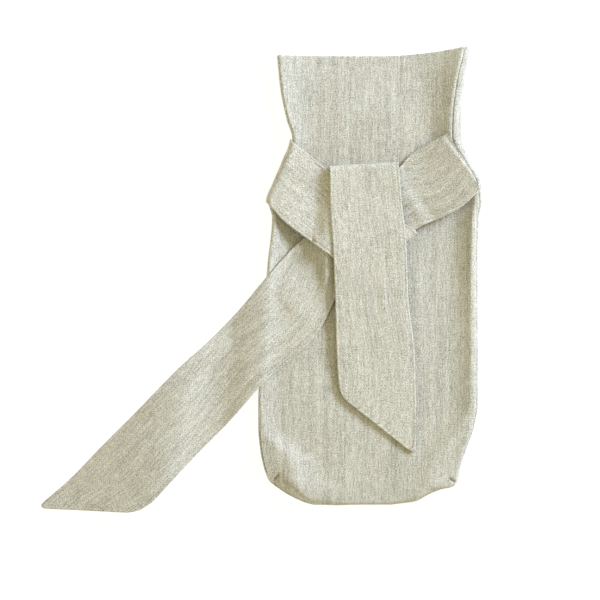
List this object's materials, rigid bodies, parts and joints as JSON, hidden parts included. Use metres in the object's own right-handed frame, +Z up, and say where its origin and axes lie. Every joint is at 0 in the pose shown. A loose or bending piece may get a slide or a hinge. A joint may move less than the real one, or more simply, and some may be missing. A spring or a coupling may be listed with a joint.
{
  "type": "wine bag",
  "caption": "Empty linen bag for a wine bottle, lying flat on its back with its mouth open, its bottom corners boxed and its wide cloth ties knotted loosely over the front.",
  "frame": {"origin": "middle of the rectangle that the bag and its ties cover, at the height of the surface they lie on", "axes": "+Y from the bag's bottom towards its mouth, +Z up out of its front, +X towards the side the right tie is sewn to"},
  "size_m": [0.351, 0.3701, 0.0166],
  "materials": {
    "front_linen": "matt natural linen, plain weave with slubs",
    "back_linen": "matt natural linen, plain weave with slubs",
    "left_tie_linen": "matt natural linen, plain weave with slubs, doubled and pressed",
    "right_tie_linen": "matt natural linen, plain weave with slubs, doubled and pressed"
  },
  "bodies": {
    "root": {"front_panel": "front_linen", "back_panel": "back_linen", "left_tie": "left_tie_linen", "right_tie": "right_tie_linen"}
  },
  "joints": []
}
